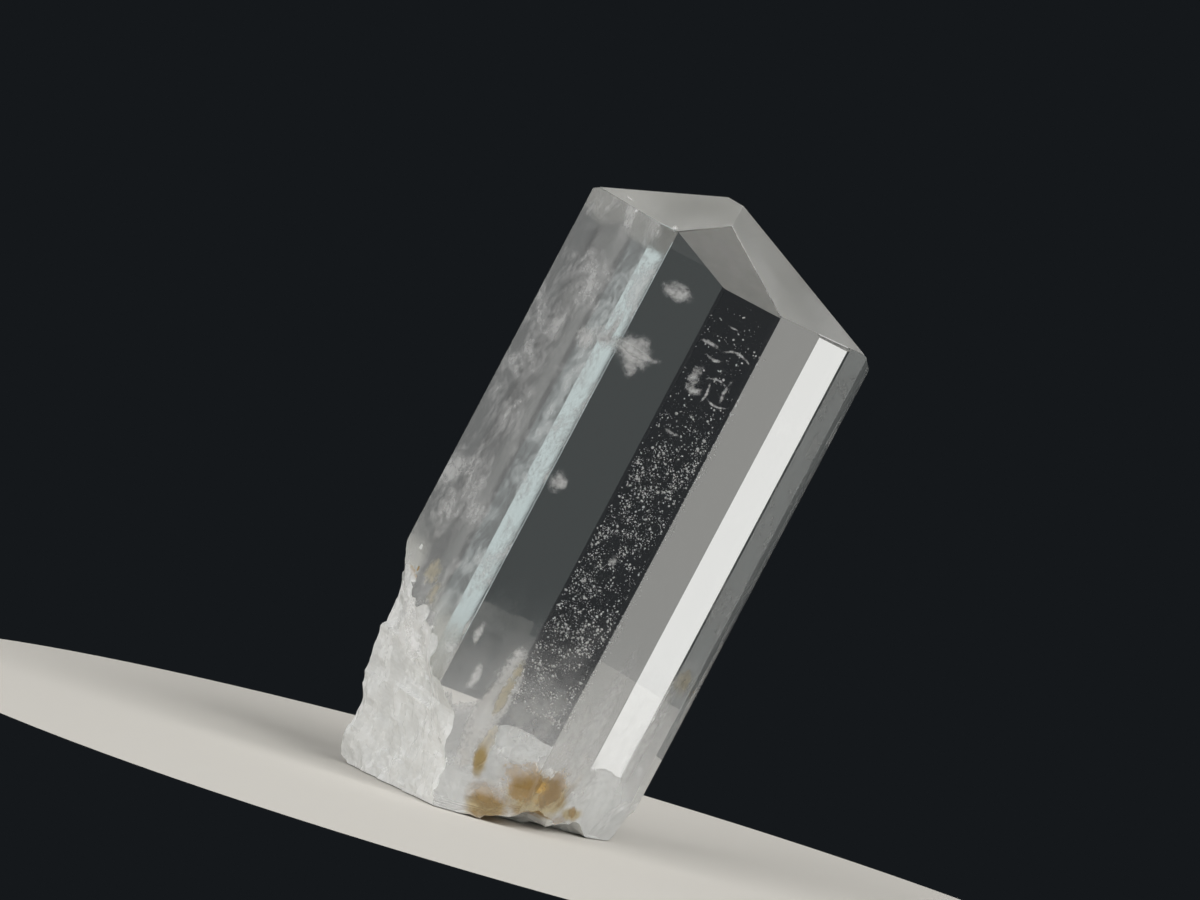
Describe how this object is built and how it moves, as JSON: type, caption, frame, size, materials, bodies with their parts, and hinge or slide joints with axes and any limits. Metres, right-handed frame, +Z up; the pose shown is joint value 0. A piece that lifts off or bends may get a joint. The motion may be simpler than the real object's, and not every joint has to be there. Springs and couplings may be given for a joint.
{
  "type": "crystal",
  "caption": "Clear phenakite crystal: a prism with a low pointed rhombohedral tip, leaning on its rough broken lower end.",
  "frame": {"origin": "on the surface that the crystal stands on, below the middle of its bounding box", "axes": "+Z up, +X the side that the long axis leans to, -Y the clear front face"},
  "size_m": [0.0084, 0.0056, 0.0135],
  "materials": {
    "phenakite": "clear, colourless, glassy growth faces and a frosty broken end"
  },
  "bodies": {
    "root": {"crystal": "phenakite"}
  },
  "joints": []
}
